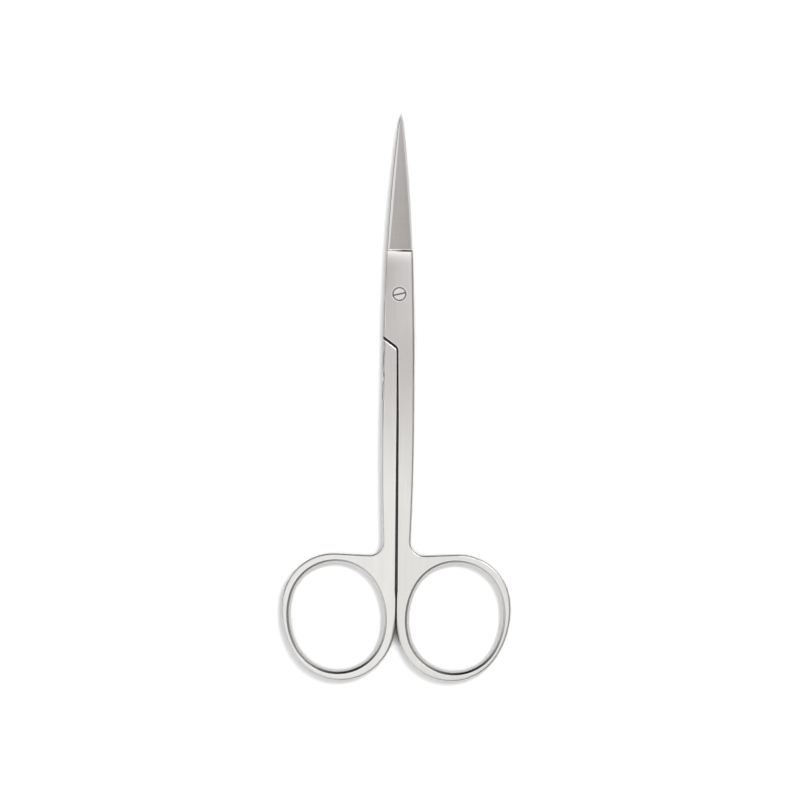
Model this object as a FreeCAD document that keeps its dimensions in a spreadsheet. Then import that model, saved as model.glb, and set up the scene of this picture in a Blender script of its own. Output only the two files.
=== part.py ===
import FreeCAD, Part
import math
import os
import Sketcher
from FreeCAD import Rotation, Vector

# Straight iris scissors, lying flat and closed. Millimetres, +Z up, +Y towards the tips.
# The origin is on the pivot axis, in the plane of the underside.
# Both halves are the same forging, the back one turned over about the long axis.

doc = FreeCAD.newDocument("iris_scissors")
sheet = doc.addObject("Spreadsheet::Sheet", "Sizes")

SIZES = [
    # Both halves
    ("thickness", 2.4, "full thickness of shanks, rings and closed box"),
    ("lap_play", 0.02, "running gap between the two lap faces"),
    # Outer edge of the closed scissors: half widths, and where along the axis they lie
    ("spare", 1.2, "stock past the tip and beside the gap, cut away later"),
    ("tip_reach", 36.6, "pivot to the tip"),
    ("point_half_width", 0.75, "half width where the point begins"),
    ("point_length", 3.0, "tip back to where the point begins"),
    ("tip_half_width", 0.17, "centre line to the spine at the blunted tip"),
    ("belly_half_width", 3.34, "half width at the widest place of the shanks"),
    ("belly_place", 27.5, "pivot to the widest place of the shanks"),
    ("root_narrowing", 0.52, "half width lost from there to the root of the blade"),
    ("root_start", 4.9, "pivot to the root of the blade"),
    ("neck_narrowing", 0.42, "half width lost from the widest place to the neck"),
    ("neck_rise", 3.77, "top of the rings up to the neck of the shanks"),
    ("neck_fillet", 2.7, "hollow corner between shank and ring"),
    # Finger ring
    ("finger_side", 12.01, "centre line to the middle of the finger hole"),
    ("finger_back", 65.46, "pivot to the middle of the finger hole"),
    ("finger_half_width", 9.3, "half width of the oval finger hole"),
    ("finger_half_length", 10.77, "half length of the oval finger hole"),
    ("finger_ovality", 0.36, "half width of the finger hole less its end radius"),
    ("finger_lean", 6.6, "lean of the oval, its lower end towards the centre line"),
    ("rim_top", 2.12, "width of the bar above the hole"),
    ("rim_bottom", 2.2, "width of the bar below the hole"),
    ("crown_shift", 0.65, "middle of the hole to the centre of the top curve, outwards"),
    ("crown_radius", 10.6, "top curve of the ring"),
    ("side_radius", 17.6, "outer side curve of the ring"),
    ("toe_shift", 0.76, "middle of the hole to the centre of the bottom curve, inwards"),
    ("toe_radius", 11.0, "bottom curve of the ring"),
    ("toe_lean", 7.5, "angle at which the ring's inner side runs up to the other ring"),
    ("shoulder_slope", 2.5, "fall of the ring's top edge towards the neck"),
    # Gap between the halves
    ("stop_gap", 0.06, "gap left where the closed rings meet"),
    ("stop_rise", 2.86, "middle of the finger hole up to where the flats of the rings begin"),
    ("stop_relief", 2.4, "from there up to the lower end of the shank gap"),
    ("ring_gap", 0.5, "gap between the shanks just above the rings"),
    ("shank_gap", 0.37, "gap between the shanks where it leaves the box"),
    ("shank_shift", 0.09, "how far that gap lies left of the centre line"),
    ("gap_widens", 25.0, "pivot to that place"),
    ("box_gap", 0.24, "gap between the shanks at the lap"),
    ("box_shift", 0.25, "how far the gap at the lap lies left of the centre line"),
    # Lap joint
    ("lap_place", 11.2, "pivot to where the lap shoulders cross the centre line"),
    ("lap_angle", 37.0, "rise of the lap shoulders from the centre line outwards"),
    ("lap_gap", 0.48, "gap at the lap shoulders when closed"),
    ("lap_corner", 1.3, "hollow corner at the foot of the lap edge"),
    ("shoulder_corner", 1.25, "rounded corner of the lap shoulder"),
    ("shoulder_bevel", 0.18, "width of the bevel along the lap shoulder"),
    ("shoulder_bevel_depth", 0.07, "depth of the bevel along the lap shoulder"),
    # Blade
    ("taper_start", 2.0, "pivot to where the outer face begins to fall"),
    ("tip_thickness", 0.4, "lap face to the outer face at the tip"),
    ("ground_start", 8.6, "pivot to the step where the ground face begins"),
    ("runout_radius", 0.5, "hollow of the step, the edge of the grinding wheel"),
    ("ridge_at_step", 2.13, "centre line to the ridge of the ground face at the step"),
    ("ridge_at_point", 0.33, "centre line to the ridge where the point begins"),
    ("grind_angle", 11.3, "fall of the ground face towards the cutting edge"),
    ("edge_inset", 0.15, "cutting edge inside the spine of the other blade"),
    ("edge_bow_radius", 358.0, "bow of the cutting edge"),
    ("edge_land", 0.05, "height of the cutting edge above the lap face"),
    ("bevel_angle", 45.0, "fall of the honed bevel towards the cutting edge"),
    ("bevel_start", 8.9, "pivot to the start of the honed bevel"),
    ("hollow_start", 6.4, "pivot to where the hollow of the inner face begins"),
    ("hollow_radius", 42.0, "radius of the hollow of the inner face"),
    ("hollow_depth", 0.06, "depth of the hollow where it begins"),
    # Rounded and broken edges
    ("edge_round", 0.5, "rounding of the outer edges"),
    ("spine_round", 0.28, "rounding of the spine and the box on that side"),
    ("finger_bevel", 0.9, "bevel round the finger hole"),
    ("broken_edge", 0.13, "broken edges along the gap and the lap"),
    # Screw
    ("shaft_diameter", 1.8, "shaft of the pivot screw"),
    ("shaft_clearance", 0.03, "gap round the shaft in the front half"),
    ("head_diameter", 2.6, "head of the pivot screw"),
    ("head_thickness", 0.6, "thickness of the screw head"),
    ("head_clearance", 0.17, "gap round the screw head"),
    ("head_seat_gap", 0.02, "gap under the screw head"),
    ("head_chamfer", 0.12, "chamfer of the screw head"),
    ("slot_width", 0.27, "width of the screwdriver slot"),
    ("slot_depth", 0.3, "depth of the screwdriver slot"),
    ("slot_turn", 13.3, "turn of the slot from the cross direction"),
    ("shaft_end_chamfer", 0.15, "chamfer of the shaft end"),
]

for row, (alias, value, note) in enumerate(SIZES, start=1):
    sheet.set("A%d" % row, note)
    sheet.set("B%d" % row, str(value))
    sheet.setAlias("B%d" % row, alias)
doc.recompute()


LAP_HEIGHT = "(Sizes.thickness + Sizes.lap_play) / 2"
HEAD_SEAT = "(Sizes.thickness - Sizes.head_thickness - Sizes.head_seat_gap)"
POINT_START = "(Sizes.tip_reach - Sizes.point_length)"
ROOT_HALF_WIDTH = "(Sizes.belly_half_width - Sizes.root_narrowing)"
RING_TOP = "(Sizes.finger_back - Sizes.finger_half_length - Sizes.rim_top)"
RING_BOTTOM = "(Sizes.finger_back + Sizes.finger_half_length + Sizes.rim_bottom)"
NECK_PLACE = "(" + RING_TOP + " - Sizes.neck_rise)"
HOLE_END_RADIUS = "(Sizes.finger_half_width - Sizes.finger_ovality)"
STOP_START = "(Sizes.finger_back - Sizes.stop_rise)"
GAP_END = "(" + STOP_START + " - Sizes.stop_relief)"

# The outer face bows down from taper_start to the tip.
TIP_DROP = "(Sizes.thickness - " + LAP_HEIGHT + " - Sizes.tip_thickness)"
TAPER_RADIUS = "(((Sizes.tip_reach - Sizes.taper_start)^2 / " + TIP_DROP + " + " + TIP_DROP + ") / 2)"


def size(alias):
    return float(getattr(sheet, alias))


def turned(vector, degrees):
    return Rotation(Vector(0, 0, 1), degrees).multVec(vector)


def value_of(holder, expression):
    value = holder.evalExpression(expression)
    return float(getattr(value, "Value", value))


def unit(vector):
    return vector / vector.Length


def mirrored(vector):
    return Vector(-vector.x, vector.y, 0)


def circle_through(start, normal, through):
    # Circle that leaves start at right angles to the outward normal and passes a second point.
    chord = through - start
    radius = -chord.dot(chord) / (2 * chord.dot(normal))
    return start - normal * radius, radius


def circle_on(start, end, radius):
    # Centre of the circle of that radius through both points, on the left of the way between them.
    chord = end - start
    height = math.sqrt(radius ** 2 - chord.dot(chord) / 4)
    return start + chord / 2 + turned(unit(chord), 90) * height


def circles_meet(first, first_distance, second, second_distance):
    # The point at given distances from two centres, on the right of the way between them.
    between = second - first
    along = (between.Length ** 2 + first_distance ** 2 - second_distance ** 2) / (2 * between.Length)
    across = math.sqrt(first_distance ** 2 - along ** 2)
    return first + unit(between) * along + turned(unit(between), -90) * across


def line_meets_circle(point, direction, centre, radius, far=False):
    # Where a line from the point enters the circle, or leaves it.
    offset = point - centre
    half = offset.dot(direction)
    root = math.sqrt(half ** 2 - offset.dot(offset) + radius ** 2)
    return point + direction * (root - half if far else -root - half)


class Outline:
    """A closed outline in a sketch, drawn piece after piece along its path."""

    def __init__(self, sketch):
        self.sketch = sketch
        self.pieces = []

    def arc(self, centre, radius, start, end, clockwise=True):
        first = math.atan2(start.y - centre.y, start.x - centre.x)
        last = math.atan2(end.y - centre.y, end.x - centre.x)
        circle = Part.Circle(centre, Vector(0, 0, 1), radius)
        if clockwise:
            piece = self.sketch.addGeometry(Part.ArcOfCircle(circle, last, first), False)
            self.pieces.append((piece, 2, 1))
        else:
            piece = self.sketch.addGeometry(Part.ArcOfCircle(circle, first, last), False)
            self.pieces.append((piece, 1, 2))
        return piece

    def line(self, start, end):
        piece = self.sketch.addGeometry(Part.LineSegment(start, end), False)
        self.pieces.append((piece, 1, 2))
        return piece

    def start_of(self, piece):
        return next((geo, first) for geo, first, last in self.pieces if geo == piece)

    def end_of(self, piece):
        return next((geo, last) for geo, first, last in self.pieces if geo == piece)

    def close(self, smooth=()):
        # Each piece joins the next one: tangent after the pieces named as smooth, else at a corner.
        for index, (geo, first, last) in enumerate(self.pieces):
            following, following_first, _ = self.pieces[(index + 1) % len(self.pieces)]
            kind = "Tangent" if geo in smooth else "Coincident"
            self.sketch.addConstraint(Sketcher.Constraint(kind, geo, last, following, following_first))


def dimension(sketch, expression, kind, *place):
    # One dimension of a sketch, bound to the sheet.
    value = value_of(sketch, expression)
    if kind == "Angle":
        value = math.radians(value)
        expression = "(%s) * 1 deg" % expression
    index = sketch.addConstraint(Sketcher.Constraint(kind, *place, value))
    sketch.setExpression("Constraints[%d]" % index, expression)


def locate(sketch, geo, position, x=None, y=None):
    if x is not None:
        dimension(sketch, x, "DistanceX", geo, position)
    if y is not None:
        dimension(sketch, y, "DistanceY", geo, position)


def pass_through(sketch, curve, x, y):
    # The curve, drawn on if need be, passes this point.
    point = Part.Point(Vector(value_of(sketch, x), value_of(sketch, y), 0))
    mark = sketch.addGeometry(point, True)
    locate(sketch, mark, 1, x, y)
    sketch.addConstraint(Sketcher.Constraint("PointOnObject", mark, 1, curve))


def upright(sketch, *lines):
    for line in lines:
        sketch.addConstraint(Sketcher.Constraint("Vertical", line))


def level(sketch, *lines):
    for line in lines:
        sketch.addConstraint(Sketcher.Constraint("Horizontal", line))


def origin_plane(body, role):
    return next(item for item in body.Origin.OriginFeatures if item.Role == role)


def new_sketch(body, name, role="XY_Plane", offset=None):
    sketch = body.newObject("Sketcher::SketchObject", name)
    sketch.AttachmentSupport = [(origin_plane(body, role), "")]
    sketch.MapMode = "FlatFace"
    if offset is not None:
        sketch.setExpression("AttachmentOffset", offset)
    return sketch


def checked(before, feature):
    # A feature that takes material away has to leave less than there was.
    doc.recompute()
    if not feature.Shape.Volume < before - 1e-6:
        raise RuntimeError(feature.Label + " removes nothing")
    return feature


def cut(body, sketch, name, length=None, both_ways=False):
    """Takes the sketch's area out of the body, upwards from the sketch or both ways."""
    before = body.Shape.Volume
    pocket = body.newObject("PartDesign::Pocket", name)
    pocket.Profile = sketch
    pocket.Reversed = True
    if both_ways:
        pocket.Midplane = True
    if length is None:
        pocket.Type = "ThroughAll"
    else:
        pocket.setExpression("Length", length)
    return checked(before, pocket)


def outer_curves():
    """Circles of the outer edge on the right: box, blade, point and handle."""
    belly = Vector(size("belly_half_width"), -size("belly_place"), 0)
    root = Vector(value_of(sheet, ROOT_HALF_WIDTH), size("root_start"), 0)
    point = Vector(size("point_half_width"), value_of(sheet, POINT_START), 0)
    tip = Vector(size("tip_half_width"), size("tip_reach"), 0)
    neck = Vector(belly.x - size("neck_narrowing"), -value_of(sheet, NECK_PLACE), 0)
    box = circle_through(belly, Vector(1, 0, 0), root)
    handle = circle_through(belly, Vector(1, 0, 0), neck)
    blade = circle_through(root, unit(root - box[0]), point)
    point_arc = circle_through(point, unit(point - blade[0]), tip)
    return belly, root, point, box, handle, blade, point_arc


def draw_forging(sketch):
    """Plan of one half before the gap side and the cutting edge are cut, clockwise."""
    belly, root, point, box, handle, blade, tip = outer_curves()
    top = size("tip_reach") + size("spare")
    stock_side = belly.x + size("spare")
    stock_start = size("ground_start") + size("spare")
    root_line = turned(unit(root - box[0]), 90)
    root_end = root + root_line * ((stock_start - root.y) / root_line.y)
    left_top = line_meets_circle(Vector(0, top, 0), Vector(-1, 0, 0), mirrored(tip[0]), tip[1], far=True)

    crown = Vector(size("finger_side") + size("crown_shift"),
                   -value_of(sheet, RING_TOP) - size("crown_radius"), 0)
    toe = Vector(size("finger_side") - size("toe_shift"),
                 -value_of(sheet, RING_BOTTOM) + size("toe_radius"), 0)
    side = circles_meet(crown, size("side_radius") - size("crown_radius"),
                        toe, size("side_radius") - size("toe_radius"))
    crown_end = crown + unit(crown - side) * size("crown_radius")
    side_end = toe + unit(toe - side) * size("toe_radius")
    toe_end = toe + turned(Vector(-1, 0, 0), size("toe_lean")) * size("toe_radius")
    stop_line = turned(Vector(0, 1, 0), size("toe_lean"))
    stop_end = toe_end + stop_line * ((toe_end.x + size("spare")) / -stop_line.x)

    slope_up = turned(Vector(0, 1, 0), size("shoulder_slope"))
    slope_left = turned(Vector(-1, 0, 0), size("shoulder_slope"))
    crown_start = crown + slope_up * size("crown_radius")
    neck_reach = handle[1] + size("neck_fillet")
    neck = line_meets_circle(crown_start + slope_up * size("neck_fillet"), slope_left,
                             handle[0], neck_reach)
    handle_end = handle[0] + unit(neck - handle[0]) * handle[1]
    neck_end = neck - slope_up * size("neck_fillet")

    path = Outline(sketch)
    end_line = path.line(left_top, Vector(stock_side, top, 0))
    stock_edge = path.line(Vector(stock_side, top, 0), Vector(stock_side, stock_start, 0))
    stock_ledge = path.line(Vector(stock_side, stock_start, 0), root_end)
    blade_side = path.line(root_end, root)
    box_arc = path.arc(*box, root, belly)
    handle_arc = path.arc(*handle, belly, handle_end)
    neck_arc = path.arc(neck, size("neck_fillet"), handle_end, neck_end, clockwise=False)
    shoulder = path.line(neck_end, crown_start)
    crown_arc = path.arc(crown, size("crown_radius"), crown_start, crown_end)
    side_arc = path.arc(side, size("side_radius"), crown_end, side_end)
    toe_arc = path.arc(toe, size("toe_radius"), side_end, toe_end)
    stop_side = path.line(toe_end, stop_end)
    ledge = path.line(stop_end, Vector(-belly.x, stop_end.y, 0))
    gap_side = path.line(Vector(-belly.x, stop_end.y, 0), mirrored(belly))
    left_box_arc = path.arc(mirrored(box[0]), box[1], mirrored(belly), mirrored(root))
    left_blade_arc = path.arc(mirrored(blade[0]), blade[1], mirrored(root), mirrored(point))
    left_tip_arc = path.arc(mirrored(tip[0]), tip[1], mirrored(point), left_top)
    path.close(smooth=(blade_side, box_arc, handle_arc, neck_arc, shoulder, crown_arc, side_arc,
                       toe_arc, left_box_arc, left_blade_arc))

    level(sketch, end_line, stock_ledge, ledge)
    upright(sketch, stock_edge, gap_side)
    locate(sketch, *path.end_of(end_line), None, "Sizes.tip_reach + Sizes.spare")
    locate(sketch, *path.end_of(stock_edge), "Sizes.belly_half_width + Sizes.spare",
           "Sizes.ground_start + Sizes.spare")
    locate(sketch, *path.start_of(box_arc), ROOT_HALF_WIDTH, "Sizes.root_start")
    locate(sketch, *path.start_of(handle_arc), "Sizes.belly_half_width", "-Sizes.belly_place")
    locate(sketch, box_arc, 3, None, "-Sizes.belly_place")
    pass_through(sketch, handle_arc, "Sizes.belly_half_width - Sizes.neck_narrowing", "-" + NECK_PLACE)
    dimension(sketch, "Sizes.neck_fillet", "Radius", neck_arc)
    dimension(sketch, "Sizes.shoulder_slope", "Angle", shoulder)
    locate(sketch, crown_arc, 3, "Sizes.finger_side + Sizes.crown_shift",
           "-" + RING_TOP + " - Sizes.crown_radius")
    dimension(sketch, "Sizes.crown_radius", "Radius", crown_arc)
    dimension(sketch, "Sizes.side_radius", "Radius", side_arc)
    locate(sketch, toe_arc, 3, "Sizes.finger_side - Sizes.toe_shift",
           "-" + RING_BOTTOM + " + Sizes.toe_radius")
    dimension(sketch, "Sizes.toe_radius", "Radius", toe_arc)
    dimension(sketch, "90 + Sizes.toe_lean", "Angle", stop_side)
    locate(sketch, *path.end_of(stop_side), "-Sizes.spare")
    locate(sketch, *path.start_of(left_box_arc), "-Sizes.belly_half_width", "-Sizes.belly_place")
    locate(sketch, *path.start_of(left_blade_arc), "-" + ROOT_HALF_WIDTH, "Sizes.root_start")
    locate(sketch, left_box_arc, 3, None, "-Sizes.belly_place")
    locate(sketch, *path.start_of(left_tip_arc), "-Sizes.point_half_width", POINT_START)
    pass_through(sketch, left_tip_arc, "-Sizes.tip_half_width", "Sizes.tip_reach")


def lap_line(side):
    """Foot on the centre line and directions of the lap edge (left, -1) or shoulder (right, 1)."""
    angle = size("lap_angle")
    along = turned(Vector(1, 0, 0), angle) if side > 0 else turned(Vector(-1, 0, 0), -angle)
    up = turned(along, 90) if side > 0 else turned(along, -90)
    foot = Vector(0, -size("lap_place") - side * size("lap_gap") / 2 / up.y, 0)
    return foot, along, up


def draw_lap(sketch, box_edge):
    """Plan of the lower half that is cut away above the lap shoulder."""
    foot, along, up = lap_line(1)
    radius = size("shoulder_corner")
    side = size("belly_half_width") + size("spare")
    far = foot + along * (side / along.x)
    lowered = foot - up * radius
    centre = lowered + along * ((value_of(sketch, box_edge) + radius - lowered.x) / along.x)
    corner_start = centre + up * radius
    corner_end = centre - Vector(radius, 0, 0)
    top = size("tip_reach") + 2 * size("spare")
    path = Outline(sketch)
    shoulder = path.line(far, corner_start)
    corner = path.arc(centre, radius, corner_start, corner_end, clockwise=False)
    lower = path.line(corner_end, Vector(-side, centre.y, 0))
    left = path.line(Vector(-side, centre.y, 0), Vector(-side, top, 0))
    upper = path.line(Vector(-side, top, 0), Vector(side, top, 0))
    right = path.line(Vector(side, top, 0), far)
    path.close(smooth=(shoulder,))
    dimension(sketch, "Sizes.lap_angle - 180", "Angle", shoulder)
    dimension(sketch, "Sizes.shoulder_corner", "Radius", corner)
    locate(sketch, corner, 3, box_edge + " + Sizes.shoulder_corner")
    sketch.addConstraint(Sketcher.Constraint("Horizontal", corner, 3, *path.end_of(corner)))
    pass_through(sketch, shoulder, "0",
                 "-Sizes.lap_place - Sizes.lap_gap / 2 / cos(Sizes.lap_angle * 1 deg)")
    level(sketch, lower, upper)
    upright(sketch, left, right)
    locate(sketch, *path.end_of(lower), "-(Sizes.belly_half_width + Sizes.spare)")
    locate(sketch, *path.end_of(upper), "Sizes.belly_half_width + Sizes.spare",
           "Sizes.tip_reach + 2 * Sizes.spare")


def draw_shoulder_bevel(sketch):
    """Section across the lap shoulder: the corner taken off its outer edge."""
    slope = "Sizes.shoulder_bevel_depth / Sizes.shoulder_bevel"
    polygon(sketch, [("-Sizes.shoulder_bevel - Sizes.spare", "-Sizes.spare * " + slope),
                     ("Sizes.lap_gap / 2", "-Sizes.spare * " + slope),
                     ("Sizes.lap_gap / 2", "Sizes.shoulder_bevel_depth + Sizes.lap_gap / 2 * " + slope)])


def draw_gap(sketch, box_edge, shank_edge):
    """Plan of what is cut off the gap side: ring stop, shank gap and lap edge."""
    foot, along, up = lap_line(-1)
    radius = size("lap_corner")
    left = -(size("belly_half_width") + size("spare"))
    bottom = -value_of(sheet, RING_BOTTOM)
    stop_low = Vector(size("stop_gap") / 2, bottom, 0)
    stop_high = Vector(size("stop_gap") / 2, -value_of(sheet, STOP_START), 0)
    gap_low = Vector(size("ring_gap") / 2, -value_of(sheet, GAP_END), 0)
    gap_mid = Vector(value_of(sketch, shank_edge), -size("gap_widens"), 0)
    gap_high = Vector(value_of(sketch, box_edge), -size("lap_place"), 0)
    gap_up = unit(gap_high - gap_mid)
    gap_left = turned(gap_up, 90)
    # Centre of the hollow corner, as far below the lap edge as it is left of the gap edge.
    across = up.dot(gap_mid + gap_left * radius - foot) + radius
    centre = gap_mid + gap_left * radius - gap_up * (across / up.dot(gap_up))
    corner_start = centre - gap_left * radius
    corner_end = centre + up * radius
    lap_end = foot + along * (left / along.x)
    path = Outline(sketch)
    stop = path.line(stop_low, stop_high)
    stop_relief = path.line(stop_high, gap_low)
    shank_side = path.line(gap_low, gap_mid)
    box_side = path.line(gap_mid, corner_start)
    corner = path.arc(centre, radius, corner_start, corner_end, clockwise=False)
    lap_edge = path.line(corner_end, lap_end)
    outside = path.line(lap_end, Vector(left, bottom, 0))
    under = path.line(Vector(left, bottom, 0), stop_low)
    path.close(smooth=(box_side, corner))
    upright(sketch, stop, outside)
    level(sketch, under)
    locate(sketch, *path.end_of(stop), "Sizes.stop_gap / 2", "-" + STOP_START)
    locate(sketch, *path.end_of(stop_relief), "Sizes.ring_gap / 2", "-" + GAP_END)
    locate(sketch, *path.end_of(shank_side), shank_edge, "-Sizes.gap_widens")
    pass_through(sketch, box_side, box_edge, "-Sizes.lap_place")
    dimension(sketch, "Sizes.lap_corner", "Radius", corner)
    pass_through(sketch, lap_edge, "0",
                 "-Sizes.lap_place + Sizes.lap_gap / 2 / cos(Sizes.lap_angle * 1 deg)")
    dimension(sketch, "180 - Sizes.lap_angle", "Angle", lap_edge)
    locate(sketch, *path.end_of(outside), "-(Sizes.belly_half_width + Sizes.spare)",
           "-" + RING_BOTTOM)


def draw_finger_hole(sketch):
    """Oval of four arcs about its own centre."""
    end = value_of(sheet, HOLE_END_RADIUS)
    reach = size("finger_half_length") - end
    half = size("finger_half_width")
    side = (half ** 2 + reach ** 2 - end ** 2) / (2 * (half - end))
    upper = Vector(0, reach, 0)
    left = Vector(side - half, 0, 0)
    top_left = upper + unit(upper - left) * end
    top_right = mirrored(top_left)
    path = Outline(sketch)
    upper_arc = path.arc(upper, end, top_right, top_left, clockwise=False)
    right_side = path.arc(left, side, top_left, -top_right, clockwise=False)
    lower_arc = path.arc(-upper, end, -top_right, -top_left, clockwise=False)
    left_side = path.arc(-left, side, -top_left, top_right, clockwise=False)
    path.close(smooth=(upper_arc, right_side, lower_arc, left_side))
    locate(sketch, upper_arc, 3, "0", "Sizes.finger_half_length - " + HOLE_END_RADIUS)
    locate(sketch, lower_arc, 3, "0", "-(Sizes.finger_half_length - " + HOLE_END_RADIUS + ")")
    dimension(sketch, HOLE_END_RADIUS, "Radius", upper_arc)
    sketch.addConstraint(Sketcher.Constraint("Equal", upper_arc, lower_arc))
    sketch.addConstraint(Sketcher.Constraint("Equal", left_side, right_side))
    pass_through(sketch, right_side, "-Sizes.finger_half_width", "0")


def draw_taper(sketch):
    """Side view of what is taken off the outer face: an arc that leaves it tangentially."""
    start = Vector(size("taper_start"), size("thickness"), 0)
    radius = value_of(sketch, TAPER_RADIUS)
    centre = start - Vector(0, radius, 0)
    end_y = size("tip_reach") + 2 * size("spare")
    end = Vector(end_y, centre.y + math.sqrt(radius ** 2 - (end_y - start.x) ** 2), 0)
    roof = size("thickness") + size("spare")
    path = Outline(sketch)
    face = path.arc(centre, radius, start, end)
    front = path.line(end, Vector(end.x, roof, 0))
    top = path.line(Vector(end.x, roof, 0), Vector(start.x, roof, 0))
    back = path.line(Vector(start.x, roof, 0), start)
    path.close()
    dimension(sketch, TAPER_RADIUS, "Radius", face)
    locate(sketch, face, 3, "Sizes.taper_start", "Sizes.thickness - " + TAPER_RADIUS)
    upright(sketch, front, back)
    level(sketch, top)
    locate(sketch, *path.end_of(front), "Sizes.tip_reach + 2 * Sizes.spare",
           "Sizes.thickness + Sizes.spare")
    locate(sketch, *path.end_of(top), "Sizes.taper_start")


def fall_at(place):
    # How far the outer face lies below the full thickness at a distance from the pivot.
    run = place + " - Sizes.taper_start"
    return "(" + TAPER_RADIUS + " - sqrt(" + TAPER_RADIUS + "^2 - (" + run + ")^2))"


GRIND = "(Sizes.grind_angle * 1 deg)"


def draw_ground_face(sketch):
    """Side view along the ground face: the wheel's run-out at the step, then the bowed face.

    The sketch plane is tilted by the grind angle and passes the ridge at the step.
    """
    ridge_rise = "tan" + GRIND + " * (Sizes.ridge_at_step - Sizes.ridge_at_point)"
    step_height = "-" + fall_at("Sizes.ground_start") + " * cos" + GRIND
    point_height = "(" + ridge_rise + " - " + fall_at(POINT_START) + ") * cos" + GRIND
    radius = value_of(sketch, TAPER_RADIUS)
    step = Vector(size("ground_start"), value_of(sketch, step_height), 0)
    point = Vector(value_of(sketch, POINT_START), value_of(sketch, point_height), 0)
    face_centre = circle_on(point, step, radius)
    wheel = size("runout_radius")
    wheel_x = size("ground_start") + wheel
    wheel_centre = Vector(wheel_x, face_centre.y + math.sqrt(
        (radius + wheel) ** 2 - (wheel_x - face_centre.x) ** 2), 0)
    face_start = face_centre + unit(wheel_centre - face_centre) * radius
    wall_foot = wheel_centre - Vector(wheel, 0, 0)
    end_x = size("tip_reach") + 2 * size("spare")
    face_end = Vector(end_x, face_centre.y + math.sqrt(radius ** 2 - (end_x - face_centre.x) ** 2), 0)
    roof = size("thickness")
    path = Outline(sketch)
    wall = path.line(Vector(wall_foot.x, roof, 0), wall_foot)
    runout = path.arc(wheel_centre, wheel, wall_foot, face_start, clockwise=False)
    face = path.arc(face_centre, radius, face_start, face_end)
    front = path.line(face_end, Vector(end_x, roof, 0))
    top = path.line(Vector(end_x, roof, 0), Vector(wall_foot.x, roof, 0))
    path.close(smooth=(wall, runout))
    upright(sketch, wall, front)
    level(sketch, top)
    dimension(sketch, "Sizes.runout_radius", "Radius", runout)
    dimension(sketch, TAPER_RADIUS, "Radius", face)
    pass_through(sketch, face, "Sizes.ground_start", step_height)
    pass_through(sketch, face, POINT_START, point_height)
    locate(sketch, *path.start_of(wall), "Sizes.ground_start", "Sizes.thickness")
    locate(sketch, *path.end_of(face), "Sizes.tip_reach + 2 * Sizes.spare")


def draw_cutting_edge(sketch):
    """Plan of what lies outside the cutting edge and past the tip."""
    inset = size("edge_inset")
    radius = size("edge_bow_radius")
    root = Vector(value_of(sheet, ROOT_HALF_WIDTH) - inset, size("root_start"), 0)
    point = Vector(size("point_half_width") - inset, value_of(sketch, POINT_START), 0)
    end = Vector(size("tip_half_width") - inset, size("tip_reach"), 0)
    centre = circle_on(root, point, radius)
    tip_centre, tip_radius = circle_through(point, unit(point - centre), end)
    start = Vector(centre.x + math.sqrt(radius ** 2 - (size("ground_start") - centre.y) ** 2),
                   size("ground_start"), 0)
    side = size("belly_half_width") + size("spare")
    top = size("tip_reach") + 2 * size("spare")
    path = Outline(sketch)
    blade = path.arc(centre, radius, start, point, clockwise=False)
    tip = path.arc(tip_centre, tip_radius, point, end, clockwise=False)
    across = path.line(end, Vector(-side, end.y, 0))
    left = path.line(Vector(-side, end.y, 0), Vector(-side, top, 0))
    upper = path.line(Vector(-side, top, 0), Vector(side, top, 0))
    right = path.line(Vector(side, top, 0), Vector(side, start.y, 0))
    lower = path.line(Vector(side, start.y, 0), start)
    path.close(smooth=(blade,))
    level(sketch, across, upper, lower)
    upright(sketch, left, right)
    dimension(sketch, "Sizes.edge_bow_radius", "Radius", blade)
    pass_through(sketch, blade, ROOT_HALF_WIDTH + " - Sizes.edge_inset", "Sizes.root_start")
    locate(sketch, *path.start_of(tip), "Sizes.point_half_width - Sizes.edge_inset", POINT_START)
    locate(sketch, *path.end_of(tip), "Sizes.tip_half_width - Sizes.edge_inset", "Sizes.tip_reach")
    locate(sketch, *path.end_of(left), "-(Sizes.belly_half_width + Sizes.spare)",
           "Sizes.tip_reach + 2 * Sizes.spare")
    locate(sketch, *path.end_of(right), "Sizes.belly_half_width + Sizes.spare", "Sizes.ground_start")


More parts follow.
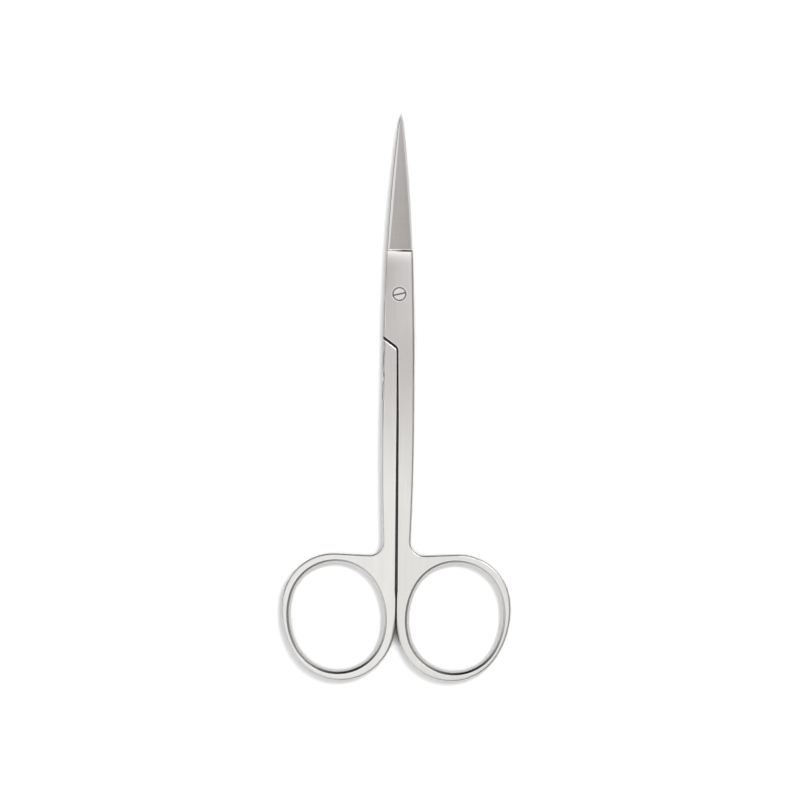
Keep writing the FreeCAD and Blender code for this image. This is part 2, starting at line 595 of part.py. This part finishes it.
def draw_bevel(sketch):
    """Side view along the honed bevel, in a plane tilted by its angle and passing the edge.

    Seen that way the plan of the cutting edge is squeezed by the sine of the angle.
    """
    squeeze = "sin(Sizes.bevel_angle * 1 deg)"
    point_drop = "-(" + ROOT_HALF_WIDTH + " - Sizes.point_half_width) * " + squeeze
    tip_drop = "-(" + ROOT_HALF_WIDTH + " - Sizes.tip_half_width) * " + squeeze
    radius = value_of(sketch, "Sizes.edge_bow_radius / " + squeeze)
    root = Vector(size("root_start"), 0, 0)
    point = Vector(value_of(sketch, POINT_START), value_of(sketch, point_drop), 0)
    end = Vector(size("tip_reach"), value_of(sketch, tip_drop), 0)
    centre = circle_on(point, root, radius)
    tip_centre, tip_radius = circle_through(point, unit(point - centre), end)
    start_x = size("bevel_start")
    start = Vector(start_x, centre.y + math.sqrt(radius ** 2 - (start_x - centre.x) ** 2), 0)
    past = Vector(end.x + size("spare"), end.y, 0)
    roof = size("thickness")
    path = Outline(sketch)
    blade = path.arc(centre, radius, start, point)
    tip = path.arc(tip_centre, tip_radius, point, end)
    beyond = path.line(end, past)
    front = path.line(past, Vector(past.x, roof, 0))
    top = path.line(Vector(past.x, roof, 0), Vector(start_x, roof, 0))
    back = path.line(Vector(start_x, roof, 0), start)
    path.close(smooth=(blade,))
    upright(sketch, front, back)
    level(sketch, beyond, top)
    dimension(sketch, "Sizes.edge_bow_radius / " + squeeze, "Radius", blade)
    pass_through(sketch, blade, "Sizes.root_start", "0")
    locate(sketch, *path.start_of(tip), POINT_START, point_drop)
    locate(sketch, *path.end_of(tip), "Sizes.tip_reach", tip_drop)
    locate(sketch, *path.end_of(front), "Sizes.tip_reach + Sizes.spare", "Sizes.thickness")
    locate(sketch, *path.end_of(top), "Sizes.bevel_start")


def edge_names(shape, wanted):
    names = []
    for number, edge in enumerate(shape.Edges, start=1):
        if wanted(edge.valueAt((edge.FirstParameter + edge.LastParameter) / 2)):
            names.append("Edge%d" % number)
    return names


def round_off(body, name, radius, wanted):
    """Rounds the edges whose middle passes the test, and those that run on smoothly."""
    base = body.Tip
    names = edge_names(base.Shape, wanted)
    feature = body.newObject("PartDesign::Fillet", name)
    feature.Base = (base, names)
    feature.setExpression("Radius", radius)
    return checked(base.Shape.Volume, feature)


def bevel_off(body, name, width, wanted):
    base = body.Tip
    names = edge_names(base.Shape, wanted)
    feature = body.newObject("PartDesign::Chamfer", name)
    feature.Base = (base, names)
    feature.setExpression("Size", width)
    return checked(base.Shape.Volume, feature)


def polygon(sketch, corners):
    """Closed polygon, each corner held by its own two dimensions."""
    points = [Vector(value_of(sketch, x), value_of(sketch, y), 0) for x, y in corners]
    path = Outline(sketch)
    for index, point in enumerate(points):
        side = path.line(point, points[(index + 1) % len(points)])
        locate(sketch, *path.start_of(side), *corners[index])
    path.close()


def circle(sketch, diameter):
    ring = sketch.addGeometry(Part.Circle(Vector(0, 0, 0), Vector(0, 0, 1), 1.0), False)
    sketch.addConstraint(Sketcher.Constraint("Coincident", ring, 3, -1, 1))
    dimension(sketch, diameter, "Diameter", ring)


def half(name, hole_diameter):
    """One half of the scissors, its lap face down at half the thickness."""
    body = doc.addObject("PartDesign::Body", name)
    thickness = size("thickness")
    left = "-" if name == "front_half" else "+"
    box_edge = "(Sizes.box_gap / 2 " + left + " Sizes.box_shift)"
    shank_edge = "(Sizes.shank_gap / 2 " + left + " Sizes.shank_shift)"
    neck_place = value_of(sheet, NECK_PLACE)
    handle_middle = Vector(size("belly_half_width"), -(size("belly_place") + neck_place) / 2, 0)
    ring_middle = Vector(size("finger_side"), -size("finger_back"), 0)
    gap_end = value_of(sheet, GAP_END)

    def cut_away(what, draw, role="XY_Plane", offset=None, **how):
        plan = new_sketch(body, name + "_" + what + "_plan", role, offset)
        draw(plan)
        return cut(body, plan, name + "_" + what, **how)

    def flat(point):
        return Vector(point.x, point.y, 0)

    def on_faces(point):
        return min(abs(point.z), abs(point.z - thickness)) < 0.01

    def spine(middle):
        on_top = abs(middle.z - thickness) < 0.01
        return on_top and -size("belly_place") < middle.y < 0 and middle.x < -1

    def outside(middle):
        return on_faces(middle) and (flat(middle) - handle_middle).Length < 2

    def hole_edge(middle):
        inside = (flat(middle) - ring_middle).Length < size("finger_half_length") + 0.1
        return on_faces(middle) and inside

    def gap_edge(middle):
        beside = 0 < middle.x < size("shank_gap")
        return on_faces(middle) and beside and -gap_end < middle.y < -size("gap_widens")

    plan = new_sketch(body, name + "_forging_plan")
    draw_forging(plan)
    forging = body.newObject("PartDesign::Pad", name + "_forging")
    forging.Profile = plan
    forging.setExpression("Length", "Sizes.thickness")
    doc.recompute()

    cut_away("taper", draw_taper, "YZ_Plane", both_ways=True)
    cut_away("finger_hole", draw_finger_hole,
             offset="placement(vector(Sizes.finger_side; -Sizes.finger_back; 0);"
                    " rotation(-Sizes.finger_lean; 0; 0))")

    # The forging is rounded all along its outside before the gap side and the lap are milled.
    round_off(body, name + "_spine_rounding", "Sizes.spine_round", spine)
    round_off(body, name + "_outer_rounding", "Sizes.edge_round", outside)
    bevel_off(body, name + "_finger_bevel", "Sizes.finger_bevel", hole_edge)
    cut_away("gap", lambda sketch: draw_gap(sketch, box_edge, shank_edge))
    cut_away("lap", lambda sketch: draw_lap(sketch, box_edge), length=LAP_HEIGHT)
    round_off(body, name + "_gap_edges", "Sizes.broken_edge", gap_edge)
    cut_away("shoulder_bevel", draw_shoulder_bevel, "YZ_Plane",
             "placement(vector(-Sizes.lap_place - Sizes.lap_gap / 2 / cos(Sizes.lap_angle * 1 deg); 0; 0);"
             " rotation(0; Sizes.lap_angle; 0))", both_ways=True)

    # Outer face of the blade: ground from a ridge by the spine down to the honed edge.
    cut_away("ground_face", draw_ground_face, "YZ_Plane",
             "placement(vector(0; Sizes.thickness; -Sizes.ridge_at_step);"
             " rotation(0; 0; Sizes.grind_angle))", both_ways=True)
    cut_away("cutting_edge", draw_cutting_edge)
    cut_away("bevel", draw_bevel, "YZ_Plane",
             "placement(vector(0; " + LAP_HEIGHT + " + Sizes.edge_land;"
             " " + ROOT_HALF_WIDTH + " - Sizes.edge_inset); rotation(0; 0; Sizes.bevel_angle))",
             both_ways=True)

    # Inner face of the blade: a shallow hollow that runs out at the tip.
    before = body.Shape.Volume
    hollow = body.newObject("PartDesign::SubtractiveCylinder", name + "_hollow")
    hollow.AttachmentSupport = [(origin_plane(body, "XZ_Plane"), "")]
    hollow.MapMode = "FlatFace"
    hollow.setExpression("Radius", "Sizes.hollow_radius")
    hollow.setExpression("Height", "Sizes.tip_reach - Sizes.hollow_start")
    hollow.setExpression("AttachmentOffset",
                         "placement(vector(0; " + LAP_HEIGHT + " + Sizes.hollow_depth"
                         " - Sizes.hollow_radius; -Sizes.hollow_start); rotation(0; 180; 0))")
    checked(before, hollow)

    cut_away("pivot_hole", lambda sketch: circle(sketch, hole_diameter))
    if name == "front_half":
        cut_away("counterbore", draw_counterbore,
                 offset="placement(vector(0; 0; " + HEAD_SEAT + "); rotation(0; 0; 0))")
    return body


def draw_counterbore(sketch):
    circle(sketch, "Sizes.head_diameter + 2 * Sizes.head_clearance")


def draw_screw(sketch):
    """Half section of the pivot screw, its shaft end in the plane of the underside."""
    corners = [
        ("0", "0"),
        ("Sizes.shaft_diameter / 2 - Sizes.shaft_end_chamfer", "0"),
        ("Sizes.shaft_diameter / 2", "Sizes.shaft_end_chamfer"),
        ("Sizes.shaft_diameter / 2", "Sizes.thickness - Sizes.head_thickness"),
        ("Sizes.head_diameter / 2", "Sizes.thickness - Sizes.head_thickness"),
        ("Sizes.head_diameter / 2", "Sizes.thickness - Sizes.head_chamfer"),
        ("Sizes.head_diameter / 2 - Sizes.head_chamfer", "Sizes.thickness"),
        ("0", "Sizes.thickness"),
    ]
    polygon(sketch, corners)


def draw_slot(sketch):
    half_width = "Sizes.slot_width / 2"
    reach = "Sizes.head_diameter"
    polygon(sketch, [("-" + reach, "-" + half_width), (reach, "-" + half_width),
                     (reach, half_width), ("-" + reach, half_width)])


front_half = half("front_half", "Sizes.shaft_diameter + 2 * Sizes.shaft_clearance")
back_half = half("back_half", "Sizes.shaft_diameter")
back_half.setExpression("Placement", "placement(vector(0; 0; Sizes.thickness); rotation(0; 180; 0))")

pivot_screw = doc.addObject("PartDesign::Body", "pivot_screw")
section = new_sketch(pivot_screw, "screw_section", "XZ_Plane")
draw_screw(section)
turning = pivot_screw.newObject("PartDesign::Revolution", "screw_turning")
turning.Profile = section
turning.ReferenceAxis = (section, ["V_Axis"])
turning.Angle = 360
doc.recompute()
slot_plan = new_sketch(pivot_screw, "slot_plan", offset="placement(vector(0; 0; Sizes.thickness"
                       " - Sizes.slot_depth); rotation(Sizes.slot_turn; 0; 0))")
draw_slot(slot_plan)
cut(pivot_screw, slot_plan, "screw_slot")

doc.recompute()
for item in doc.Objects:
    if "Invalid" in item.State or "Error" in item.State:
        raise RuntimeError(item.Label + " did not build")
    if item.TypeId == "Sketcher::SketchObject" and not item.FullyConstrained:
        raise RuntimeError(item.Label + " is loose")

os.makedirs("parts", exist_ok=True)
for piece in (front_half, back_half, pivot_screw):
    if piece.Shape.isNull() or not piece.Shape.isValid() or len(piece.Shape.Solids) != 1:
        raise RuntimeError(piece.Label + " is not one whole solid")
    piece.Shape.exportStep("parts/" + piece.Label + ".step")
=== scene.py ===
import math

import bmesh
import bpy
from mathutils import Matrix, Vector

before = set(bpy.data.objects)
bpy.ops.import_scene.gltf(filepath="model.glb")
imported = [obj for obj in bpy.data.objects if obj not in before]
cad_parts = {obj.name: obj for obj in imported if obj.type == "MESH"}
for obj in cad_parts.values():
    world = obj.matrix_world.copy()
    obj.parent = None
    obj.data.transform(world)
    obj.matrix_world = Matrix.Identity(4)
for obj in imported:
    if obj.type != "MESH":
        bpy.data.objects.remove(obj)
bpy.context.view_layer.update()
scene = bpy.context.scene

# Front half: one forging of stainless steel with the finger ring on the right.
# Shank, box and ring are satin finished lengthwise on a fine belt; the outer
# face of the blade is ground across its width, and its edge is honed brighter.

MM = 0.001
THICKNESS = 2.4 * MM
RING_SIDE = 12.01 * MM
RING_BACK = -65.46 * MM
HOLE_HALF_WIDTH = 9.3 * MM
HOLE_HALF_LENGTH = 10.77 * MM
HOLE_BEVEL = 0.9 * MM
BEVEL_REACH = 1.135
SPINE_ROUND = 0.28 * MM
OWN_SIDE_EXTRA = 0.22 * MM
LAP_PLACE = 11.2 * MM
LAP_ANGLE = math.radians(37)
GAP_TOP = -10.0 * MM
STOP_TOP = -58.0 * MM
GROUND_START = 8.6 * MM
COUNTERBORE = 1.48 * MM

SHANK_TO_RING = (-50.5 * MM, -56.5 * MM)
PAINTED_DIM_TO_BRIGHT = (-10.0 * MM, -44.0 * MM)
SHANK_TO_BOX = (-14.0 * MM, -4.0 * MM)
BOX_TO_BLADE = (8.7 * MM, 9.0 * MM)

BELT_LINES = (5200.0, 75.0, 2600.0)
RING_LINES = (5200.0, 1.6, 2600.0)
SCORES = (120.0, 6500.0, 300.0)
UNEVENNESS = (260.0, 90.0, 200.0)
STREAKS = (1700.0, 60.0, 900.0)
HANDLING_MARKS = (900.0, 700.0, 900.0)

SATIN_PAINTED_DIM = (0.61, 0.585, 0.575, 1.0)
SATIN_PAINTED_BRIGHT = (0.85, 0.835, 0.81, 1.0)
HONED_STEEL = (0.88, 0.86, 0.84, 1.0)
GROUND_STEEL = (0.57, 0.545, 0.525, 1.0)
RUBBED_HIGHLIGHT_STEEL = (1.0, 0.985, 0.965, 1.0)
MILLED_STEEL_SHADED = (0.34, 0.32, 0.30, 1.0)
PAINTED_SHADE_DARK = (0.05, 0.047, 0.044, 1.0)


class Varying:
    """A number, colour or direction that varies over a surface, with plain arithmetic."""

    def __init__(self, tree, socket):
        self.tree = tree
        self.socket = socket

    def math(self, operation, *others):
        return make(self.tree, "ShaderNodeMath", self, *others, operation=operation)

    def __add__(self, other):
        return self.math("ADD", other)

    def __sub__(self, other):
        return self.math("SUBTRACT", other)

    def __rsub__(self, other):
        return make(self.tree, "ShaderNodeMath", other, self, operation="SUBTRACT")

    def __mul__(self, other):
        return self.math("MULTIPLY", other)

    def __truediv__(self, other):
        return self.math("DIVIDE", other)

    def __abs__(self):
        return self.math("ABSOLUTE")

    def above(self, limit):
        return self.math("GREATER_THAN", limit)

    def below(self, limit):
        return self.math("LESS_THAN", limit)

    def at_least(self, other):
        return self.math("MAXIMUM", other)

    def ramp(self, start, end, first=0.0, last=1.0):
        """Rises smoothly from first, where the value is start, to last, where it is end."""
        return make(self.tree, "ShaderNodeMapRange", self, start, end, first, last,
                    interpolation_type="SMOOTHSTEP")

    def mixed(self, other, share):
        """Two colours mixed, with the given share of the other one."""
        return mixed(self, other, share)

    def scaled(self, factor):
        made = self.tree.nodes.new("ShaderNodeVectorMath")
        made.operation = "SCALE"
        self.tree.links.new(self.socket, made.inputs[0])
        self.tree.links.new(factor.socket, made.inputs["Scale"])
        return Varying(self.tree, made.outputs[0])

    def parts(self):
        """The x, y and z of a place or direction."""
        split = self.tree.nodes.new("ShaderNodeSeparateXYZ")
        self.tree.links.new(self.socket, split.inputs[0])
        return [Varying(self.tree, socket) for socket in split.outputs]


def make(tree, kind, *inputs, out=0, **settings):
    """Adds a shader node, links or sets its inputs in order, and returns one of its outputs."""
    made = tree.nodes.new(kind)
    for setting, value in settings.items():
        setattr(made, setting, value)
    for place, value in zip(made.inputs, inputs):
        if isinstance(value, Varying):
            tree.links.new(value.socket, place)
        elif value is not None:
            place.default_value = value
    return Varying(tree, made.outputs[out])


def mixed(first, second, share):
    """Two colours mixed, with the given share of the second one."""
    return make(share.tree, "ShaderNodeMix", share, None, None, None, None, None, first, second,
                out=2, data_type="RGBA")


def length(across, along):
    """Length of the line whose two legs are given."""
    return (across * across + along * along).math("SQRT")


def dot(first, second):
    """How far two directions agree, 1 where they are the same."""
    made = first.tree.nodes.new("ShaderNodeVectorMath")
    made.operation = "DOT_PRODUCT"
    first.tree.links.new(first.socket, made.inputs[0])
    if isinstance(second, Varying):
        first.tree.links.new(second.socket, made.inputs[1])
    else:
        made.inputs[1].default_value = second
    return Varying(first.tree, made.outputs["Value"])


def grains(place, in_a_metre, detail, roughness):
    """Soft grains, as many in a metre along each part of the place as in_a_metre says."""
    stretched = [part * count for part, count in zip(place, in_a_metre)]
    tree = place[0].tree
    return make(tree, "ShaderNodeTexNoise", make(tree, "ShaderNodeCombineXYZ", *stretched), None,
                1.0, detail, roughness, noise_dimensions="3D")


def fresh_tree(owner):
    """The empty node tree of a material or of the surround."""
    owner.use_nodes = True
    owner.node_tree.nodes.clear()
    return owner.node_tree


def end_tree(tree, kind, shader):
    """Joins the shader to the output node that ends the tree."""
    output = tree.nodes.new(kind)
    tree.links.new(shader, output.inputs[0])


def surface(tree):
    """Place on the object, and the direction that the facet there faces."""
    coords = tree.nodes.new("ShaderNodeTexCoord")
    return (Varying(tree, coords.outputs["Object"]).parts(),
            Varying(tree, coords.outputs["Normal"]).parts())


def make_metal(tree, base, roughness, relief, strength, deepest, direction):
    """Bare metal with the given finish, its fine relief pressed into the surface."""
    bump = tree.nodes.new("ShaderNodeBump")
    bump.inputs["Strength"].default_value = strength
    bump.inputs["Distance"].default_value = deepest
    tree.links.new(relief.socket, bump.inputs["Height"])
    tree.links.new(direction.socket, bump.inputs["Normal"])
    shader = tree.nodes.new("ShaderNodeBsdfPrincipled")
    shader.inputs["Metallic"].default_value = 1.0
    tree.links.new(base.socket, shader.inputs["Base Color"])
    tree.links.new(roughness.socket, shader.inputs["Roughness"])
    tree.links.new(bump.outputs["Normal"], shader.inputs["Normal"])
    end_tree(tree, "ShaderNodeOutputMaterial", shader.outputs[0])


def belt_lines(x, y, z, ring_x, ring_y):
    """Brush lines along the shank and, round the finger hole, along the bar of the ring."""
    on_ring = y.ramp(*SHANK_TO_RING)
    angle = ring_y.math("ARCTAN2", ring_x)
    along_shank = grains((x, y, z), BELT_LINES, 4.0, 0.7)
    along_ring = grains((length(ring_x, ring_y), angle, z), RING_LINES, 4.0, 0.7)
    return along_ring * on_ring + along_shank * (1.0 - on_ring)


def dressed_edges(x, y, z, facet_z, reach, in_hole, ring_side):
    """Direction of the surface once its bevels and edges are dressed by hand into full rounds."""
    softened = make(x.tree, "ShaderNodeBevel", 0.06 * MM, samples=6)
    soft_x, soft_y, soft_z = softened.parts()
    depth = z.math("MINIMUM", THICKNESS - z)

    # The bevel round the finger hole grows steeper with depth.
    hole_slope = (depth / HOLE_BEVEL).math("POWER", 2.0).math("MULTIPLY_ADD", 1.65, 0.6)
    slope = hole_slope * in_hole + (1.0 - in_hole)

    # The outer edges follow a radius, larger on the half's own side than along its spine.
    own_side = (x * ring_side).above(0.0)
    edge_radius = own_side.math("MULTIPLY_ADD", OWN_SIDE_EXTRA, SPINE_ROUND)
    facing = make(x.tree, "ShaderNodeMath", 1.0, depth / edge_radius,
                  operation="SUBTRACT", use_clamp=True)
    tilted = abs(facet_z)
    on_edge = tilted.below(0.985) * tilted.above(0.03) * depth.below(edge_radius)
    on_edge = on_edge * y.below(1.9 * MM) * abs(x).above(1.7 * MM) * reach.above(BEVEL_REACH)
    sideways = (1.0 - facing * facing).math("SQRT") / length(soft_x, soft_y).at_least(0.01)
    slope = slope * (1.0 - on_edge) + sideways * on_edge
    upward = facing * soft_z.math("SIGN") * on_edge + soft_z * (1.0 - on_edge)
    rounded = make(x.tree, "ShaderNodeCombineXYZ", soft_x * slope, soft_y * slope, upward)
    return make(x.tree, "ShaderNodeVectorMath", rounded, operation="NORMALIZE")


def lap_and_painted_shade(x, y, z, facet, ring_side):
    """Where the milled lap face shows, also painted darker as shade, and where painted shade
    darkens the gaps, the step and the counterbore.
    """
    upright = abs(facet[2]).ramp(0.5, 0.1)
    across_lap = ring_side * math.sin(LAP_ANGLE)
    from_lap = x * -across_lap + (y + LAP_PLACE) * math.cos(LAP_ANGLE)
    gap_wall = abs(x).ramp(0.95 * MM, 0.55 * MM) * y.below(GAP_TOP)
    lap_wall = abs(from_lap).ramp(0.6 * MM, 0.35 * MM)
    own_lap_wall = abs(from_lap + x * (2 * across_lap)).ramp(0.6 * MM, 0.35 * MM)
    lap_wall = lap_wall.at_least(own_lap_wall) * abs(facet[1]).ramp(0.25, 0.5)
    # The upright walls of the gap and of the lap are painted dark, as painted shade between the
    # halves.
    walls = upright * gap_wall.at_least(lap_wall)

    # Painted shade in the corner of the step and in the counterbore.
    in_step = y.ramp(9.08 * MM, 8.94 * MM) * y.above(8.59 * MM) * facet[1].ramp(0.10, 0.45)
    in_step = in_step * (x * ring_side).ramp(-0.7 * MM, 0.9 * MM)
    in_bore = length(x, y).below(COUNTERBORE)
    # Painted shade on the seam where the two halves bear on each other.
    seam = abs(x).ramp(0.26 * MM, 0.14 * MM) * y.below(STOP_TOP)
    painted_shade = walls.at_least(in_step.at_least(in_bore * 0.5)).at_least(seam)

    half_way = abs(z - THICKNESS / 2).ramp(0.08 * MM, 0.03 * MM) * abs(facet[2]).above(0.9)
    # The lap face is milled and painted darker as shade in the recess; deeper in the lap it takes
    # the painted shade.
    lap_face = half_way * y.ramp(7.5 * MM, 6.5 * MM)
    deep_in_lap = lap_face * from_lap.ramp(2.2 * MM, 0.7 * MM)
    return lap_face, painted_shade.at_least(deep_in_lap)


def steel(name, ring_side, painted_brightness):
    """Satin stainless steel for one half, its ring on the side given by ring_side."""
    material = bpy.data.materials.new(name)
    tree = fresh_tree(material)
    (x, y, z), facet = surface(tree)
    ring_x = x - ring_side * RING_SIDE
    ring_y = y - RING_BACK
    reach = length(ring_x / HOLE_HALF_WIDTH, ring_y / HOLE_HALF_LENGTH)
    in_hole = reach.below(BEVEL_REACH) * abs(facet[2]).below(0.85) * abs(facet[2]).above(0.5)

    # The ground face leans by some ten degrees and is scored across.
    on_blade = y.ramp(*BOX_TO_BLADE)
    ground = abs(facet[0]).ramp(0.10, 0.16) * abs(facet[2]).ramp(0.90, 0.95) * on_blade
    unground = 1.0 - ground
    honed = on_blade * (x * ring_side).above(0.0)
    scored = grains((x, y, z), SCORES, 4.0, 0.75)
    grain = scored * ground + belt_lines(x, y, z, ring_x, ring_y) * unground

    # Slow unevenness of the hand finish, and small dull handling marks.
    uneven = grains((x, y, z), UNEVENNESS, 2.0, 0.5)
    streaks = grains((x, y, z), STREAKS, 2.0, 0.5)
    marks = grains((x, y, z), HANDLING_MARKS, 2.0, 0.4).ramp(0.60, 0.72)

    # Close to an edge the satin is rubbed bright, and so are the rounded sides of shank and ring;
    # both are also painted brighter as painted highlights.
    dressed = dressed_edges(x, y, z, facet[2], reach, in_hole, ring_side)
    upward = abs(dressed.parts()[2])
    near_edge = make(tree, "ShaderNodeBevel", 0.26 * MM, samples=8)
    facing_out = Varying(tree, tree.nodes.new("ShaderNodeNewGeometry").outputs["Normal"])
    worn_and_highlit = dot(near_edge, facing_out).ramp(0.9995, 0.985) * unground * (1.0 - honed)
    handled_and_highlit = upward.ramp(0.97, 0.75) * (1.0 - honed) * y.ramp(-10.0 * MM, -19.0 * MM, 0.25, 1.0)
    # Towards the step of the ground face the box is painted brighter, a painted highlight, and is
    # smoother there.
    lip_highlight = make(tree, "ShaderNodeMapRange", y, 4.8 * MM, GROUND_START, 0.0, 1.0).math("POWER", 3.0)
    lip_highlight = lip_highlight * y.below(8.65 * MM)

    # Painted reflection: darker satin on the box, brighter towards the rings.
    colour = mixed(SATIN_PAINTED_DIM, SATIN_PAINTED_BRIGHT, y.ramp(*PAINTED_DIM_TO_BRIGHT))
    colour = colour.mixed(HONED_STEEL, on_blade * unground).mixed(GROUND_STEEL, ground)
    # painted_brightness makes one half a little lighter and the other a little darker: painted
    # light and shade on copies of one steel.
    shade = grain * 0.14 + 0.83 * painted_brightness + (streaks + uneven) * 0.10
    # Painted reflection: the box is a little brighter towards the right than towards the left,
    # and a little brighter overall.
    on_box = y.ramp(*SHANK_TO_BOX) * unground
    shade = shade + (x * y.math("MULTIPLY_ADD", 2400.0, 32.0) + 0.05) * on_box
    # Painted shade: the ground face darkens from left to right; the scoring varies its tone.
    shade = shade + x * -24.0 * ground + scored.math("MULTIPLY_ADD", 0.16, -0.08) * ground
    # Painted highlights: the rubbed edges, the rounded sides and the lip are mixed towards bright
    # steel.
    highlit_and_rubbed = (worn_and_highlit * 0.85).at_least(lip_highlight * 0.95).at_least(handled_and_highlit)
    colour = colour.scaled(shade).mixed(RUBBED_HIGHLIGHT_STEEL, highlit_and_rubbed)
    # Painted shade: the steep sides are painted darker than the faces.
    colour = colour.scaled(upward.ramp(0.78, 0.55, 1.0, 0.55))
    # Painted shade: the lap face, the gaps, the step and the counterbore are painted dark.
    lap_face, painted_shade = lap_and_painted_shade(x, y, z, facet, ring_side)
    colour = colour.mixed(MILLED_STEEL_SHADED, lap_face).mixed(PAINTED_SHADE_DARK, painted_shade)

    rubbed = handled_and_highlit.at_least(in_hole).at_least(lip_highlight)
    rough = grain * 0.16 + 0.24 + marks * 0.05 - worn_and_highlit * 0.05 - rubbed * 0.12
    make_metal(tree, colour, rough, grain + uneven * 0.5, 0.35, 0.012 * MM, dressed)
    return material


def dress(node, material):
    """Gives a piece its finish as the one material of its mesh."""
    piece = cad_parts[node]
    piece.data.materials.clear()
    piece.data.materials.append(material)


# The front half is painted a little darker than the back half, as painted shade.
dress("front_half", steel("front_steel", 1, 0.94))

# Back half: the same forging turned over, its finger ring on the left.
# Same stainless steel and finish, painted a little brighter than the front half; the pivot screw
# is threaded into it.

dress("back_half", steel("back_steel", -1, 1.02))

# Pivot screw: turned stainless steel, its slotted head sunk flush in the front half.
# Its face is turned, so the fine lines run round the axis, and the slot is milled.

TURNED_LINES = 9000.0
TURNED_PATCHES = (1400.0, 1400.0, 1400.0)
FACE_TO_SLOT = (2.32 * MM, 2.26 * MM)
TURNED_DULL = (0.60, 0.585, 0.57, 1.0)
TURNED_BRIGHT = (0.86, 0.845, 0.825, 1.0)
SLOT_PAINTED_SHADE = (0.16, 0.15, 0.14, 1.0)


def turned_steel(name):
    """Fine turned steel with painted shade in the slot of the head."""
    material = bpy.data.materials.new(name)
    tree = fresh_tree(material)
    (x, y, z), _ = surface(tree)
    lines = grains((length(x, y), z), (TURNED_LINES, TURNED_LINES), 3.0, 0.6)
    patches = grains((x, y, z), TURNED_PATCHES, 2.0, 0.5)
    relief = lines + patches
    colour = mixed(TURNED_DULL, TURNED_BRIGHT, relief * 0.5)
    # Painted shade in the slot.
    colour = colour.mixed(SLOT_PAINTED_SHADE, z.ramp(*FACE_TO_SLOT))
    softened = make(tree, "ShaderNodeBevel", 0.05 * MM, samples=6)
    make_metal(tree, colour, patches * 0.14 + 0.2, relief, 0.3, 0.01 * MM, softened)
    return material


dress("pivot_screw", turned_steel("screw_steel"))

# Table: a sheet of white paper that keeps the object's shadow.
# The camera sees it white, and so do metal and glass.

HALF_TABLE = 1.5
PAPER = (0.8, 0.8, 0.8, 1.0)
PAPER_SEEN = (1.46, 1.46, 1.46, 1.0)

table = bpy.data.objects.new("table", bpy.data.meshes.new("table"))
sheet = bmesh.new()
bmesh.ops.create_grid(sheet, x_segments=1, y_segments=1, size=HALF_TABLE)
sheet.to_mesh(table.data)
sheet.free()
scene.collection.objects.link(table)
paper = bpy.data.materials.new("table_white")
tree = fresh_tree(paper)
rays = tree.nodes.new("ShaderNodeLightPath")
is_camera, is_glossy, is_through = (Varying(tree, rays.outputs[kind]) for kind in (
    "Is Camera Ray", "Is Glossy Ray", "Is Transmission Ray"))
seen = is_camera.at_least(is_glossy.at_least(is_through))
# Painted shade: the paper's colour is darkened where it is closed in, deepest in the gap between
# the two halves and right beside the steel.
open_sky = tree.nodes.new("ShaderNodeAmbientOcclusion")
open_sky.samples = 8
open_sky.inputs["Distance"].default_value = 3.0 * MM
painted_crevice_shade = Varying(tree, open_sky.outputs["AO"]).ramp(0.12, 0.42, 0.25, 1.0)
matt = make(tree, "ShaderNodeBsdfDiffuse", mixed(PAPER, PAPER_SEEN, seen).scaled(painted_crevice_shade))
end_tree(tree, "ShaderNodeOutputMaterial", matt.socket)
table.data.materials.append(paper)

# Surround: a pale sky that is brightest overhead and darker round the horizon.
# A small bright panel stands at the upper right, as a window would.

HORIZON = 0.165
DARKEST = 0.01
PANEL_TOWARDS = (0.413, 0.492, 0.766)
PANEL_STRENGTH = 3.5

world = bpy.data.worlds.new("studio")
scene.world = world
tree = fresh_tree(world)
sky = Varying(tree, tree.nodes.new("ShaderNodeTexCoord").outputs["Generated"])
across, along, rise = sky.parts()
outward = length(across, along) + 0.001
rightward = across / outward
upward = along / outward
horizon = rightward * -0.08 + HORIZON + upward * -0.135
horizon = horizon + rightward * rightward * 0.20 + rightward * upward * 0.25
above = rise.ramp(0.66, 0.97)
light = horizon.at_least(DARKEST) * (1.0 - above) + above
# A soft shade hangs overhead, a little to the right.
shaded = across.ramp(0.12, 0.42, 0.0, 0.32) * abs(along).ramp(0.45, 0.15)
light = light * (1.0 - shaded) + dot(sky, PANEL_TOWARDS).ramp(0.968, 0.99, 0.0, PANEL_STRENGTH)
backdrop = make(tree, "ShaderNodeBackground", (1.0, 1.0, 1.0, 1.0), light)
end_tree(tree, "ShaderNodeOutputWorld", backdrop.socket)

# Lamp: one large soft disk at the upper right, which casts the soft shadow.
# It lights the table and isn't mirrored in the steel.

lamp = bpy.data.lights.new("soft_lamp", "AREA")
lamp.shape = "DISK"
lamp.size = 0.22
lamp.energy = 0.65
lamp_object = bpy.data.objects.new("soft_lamp", lamp)
lamp_object.location = (0.15, 0.13, 0.5)
aim = Vector((0.0, -0.02, 0.0)) - lamp_object.location
lamp_object.rotation_mode = "QUATERNION"
lamp_object.rotation_quaternion = aim.to_track_quat("-Z", "Y")
lamp_object.visible_glossy = False
scene.collection.objects.link(lamp_object)

# Camera: straight above, with a long lens.
# It is turned a little, so that the tips lean right as in the photo.

VIEW_WIDTH = 162.24 * MM
DISTANCE = 0.8
ROLL = math.radians(0.613)
RIGHT_OF_PIVOT = 0.12 * MM
BELOW_PIVOT = 21.46 * MM

camera = bpy.data.cameras.new("camera")
camera.sensor_width = 36.0
camera.lens = camera.sensor_width * DISTANCE / VIEW_WIDTH
camera.clip_start = 0.01
camera.clip_end = 10.0
camera_object = bpy.data.objects.new("camera", camera)
right = Vector((math.cos(ROLL), math.sin(ROLL), 0.0))
up = Vector((-math.sin(ROLL), math.cos(ROLL), 0.0))
middle = right * RIGHT_OF_PIVOT - up * BELOW_PIVOT
camera_object.location = (middle.x, middle.y, THICKNESS / 2 + DISTANCE)
camera_object.rotation_euler = (0.0, 0.0, ROLL)
scene.collection.objects.link(camera_object)
scene.camera = camera_object

scene.view_settings.view_transform = "Standard"
